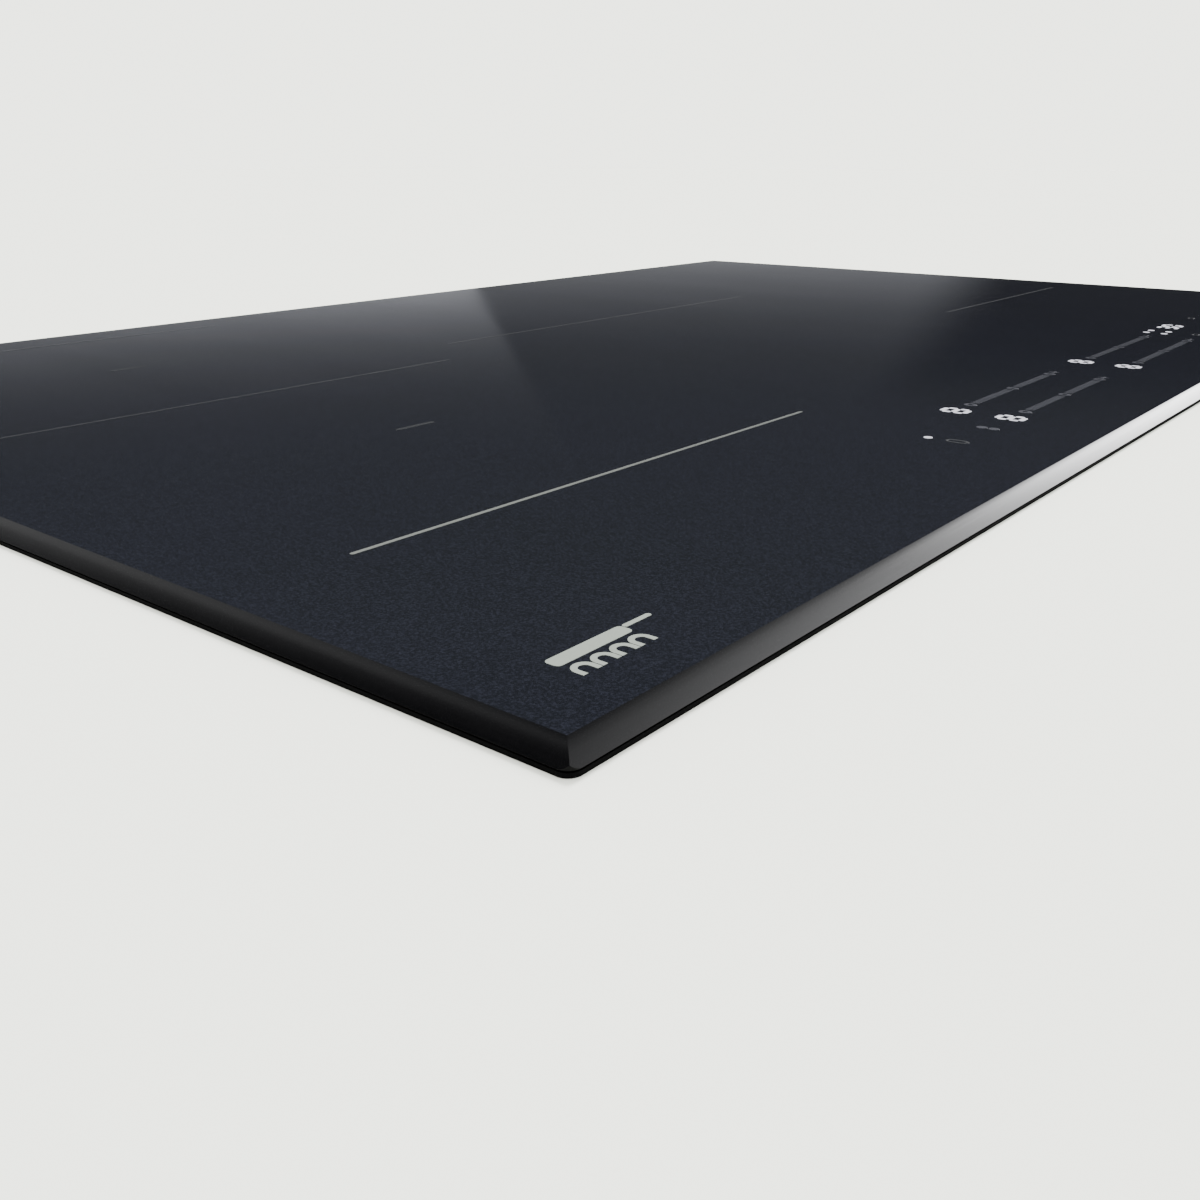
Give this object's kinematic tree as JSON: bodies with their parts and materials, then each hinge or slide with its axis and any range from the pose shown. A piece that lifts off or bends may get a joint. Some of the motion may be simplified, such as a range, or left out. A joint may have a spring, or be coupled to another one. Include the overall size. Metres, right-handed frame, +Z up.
{
  "type": "induction cooktop",
  "caption": "Flush built-in induction hob: a black glass plate with a wide bevel and touch controls over a shallow vented steel housing with coils, fans and worktop clamps.",
  "frame": {"origin": "middle of the hob on the plane of the housing's underside", "axes": "+X to the hob's right, +Y to its rear, +Z up; the controls are at the -Y edge"},
  "size_m": [0.8, 0.51, 0.055],
  "materials": {
    "black_glass": "polished black glass ceramic",
    "black_seal": "matt foam",
    "zinc_steel": "zinc-coated sheet",
    "aluminium": "mill finish",
    "black_plastic": "fine grain",
    "white_plastic": "matt",
    "copper_litz": "lacquered copper strands",
    "grey_ferrite": "sintered",
    "pale_mica": "flaky mica sheet",
    "green_board": "solder mask",
    "dark_resin": "moulded epoxy",
    "display_face": "smoked"
  },
  "bodies": {
    "hob": {"glass_top": "black_glass", "rim_seal": "black_seal", "support_frame": "zinc_steel", "bottom_tray": "zinc_steel", "carrier_plate_left": "aluminium", "carrier_plate_right": "aluminium", "ferrite_left_front": "grey_ferrite", "former_left_front": "black_plastic", "winding_left_front": "copper_litz", "mica_left_front": "pale_mica", "sensor_left_front": "white_plastic", "ferrite_left_rear": "grey_ferrite", "former_left_rear": "black_plastic", "winding_left_rear": "copper_litz", "mica_left_rear": "pale_mica", "sensor_left_rear": "white_plastic", "ferrite_centre": "grey_ferrite", "former_centre": "black_plastic", "winding_centre": "copper_litz", "mica_centre": "pale_mica", "sensor_centre": "white_plastic", "ferrite_right": "grey_ferrite", "former_right": "black_plastic", "winding_right": "copper_litz", "mica_right": "pale_mica", "sensor_right": "white_plastic", "board_tray_left": "black_plastic", "power_board_left": "green_board", "power_module_left": "dark_resin", "heatsink_left": "aluminium", "capacitor_left": "dark_resin", "choke_left": "copper_litz", "fan_housing_left": "black_plastic", "board_tray_right": "black_plastic", "power_board_right": "green_board", "power_module_right": "dark_resin", "heatsink_right": "aluminium", "capacitor_right": "dark_resin", "choke_right": "copper_litz", "fan_housing_right": "black_plastic", "filter_board": "green_board", "filter_choke": "copper_litz", "terminal_box": "black_plastic", "terminal_block": "white_plastic", "cable_gland": "black_seal", "control_housing": "black_plastic", "control_board": "green_board", "display_left_rear": "display_face", "display_left_front": "display_face", "display_right_rear": "display_face", "display_right_front": "display_face", "display_timer": "display_face"},
    "fan_rotor_left": {"fan_rotor_left": "black_plastic"},
    "fan_rotor_right": {"fan_rotor_right": "black_plastic"},
    "terminal_cover": {"terminal_cover": "black_plastic"},
    "clamp_front_left": {"clamp_front_left": "zinc_steel"},
    "clamp_front_right": {"clamp_front_right": "zinc_steel"},
    "clamp_rear_left": {"clamp_rear_left": "zinc_steel"},
    "clamp_rear_right": {"clamp_rear_right": "zinc_steel"}
  },
  "joints": [
    {"name": "fan_left_spin", "type": "hinge", "parent": "hob", "child": "fan_rotor_left", "pos_m": [-0.18, 0.155, 0.018], "axis": [0, 0, 1], "continuous": true},
    {"name": "fan_right_spin", "type": "hinge", "parent": "hob", "child": "fan_rotor_right", "pos_m": [0.18, 0.155, 0.018], "axis": [0, 0, 1], "continuous": true},
    {"name": "terminal_cover_hinge", "type": "hinge", "parent": "hob", "child": "terminal_cover", "pos_m": [-0.295, 0.245, 0.0035], "axis": [-1, 0, 0], "range_deg": [0, 90]},
    {"name": "clamp_front_left_swing", "type": "hinge", "parent": "hob", "child": "clamp_front_left", "pos_m": [-0.358, -0.203, 0.002], "axis": [0, 0, 1], "range_deg": [0, 90]},
    {"name": "clamp_front_right_swing", "type": "hinge", "parent": "hob", "child": "clamp_front_right", "pos_m": [0.358, -0.203, 0.002], "axis": [0, 0, -1], "range_deg": [0, 90]},
    {"name": "clamp_rear_left_swing", "type": "hinge", "parent": "hob", "child": "clamp_rear_left", "pos_m": [-0.358, 0.203, 0.002], "axis": [0, 0, -1], "range_deg": [0, 90]},
    {"name": "clamp_rear_right_swing", "type": "hinge", "parent": "hob", "child": "clamp_rear_right", "pos_m": [0.358, 0.203, 0.002], "axis": [0, 0, 1], "range_deg": [0, 90]}
  ]
}
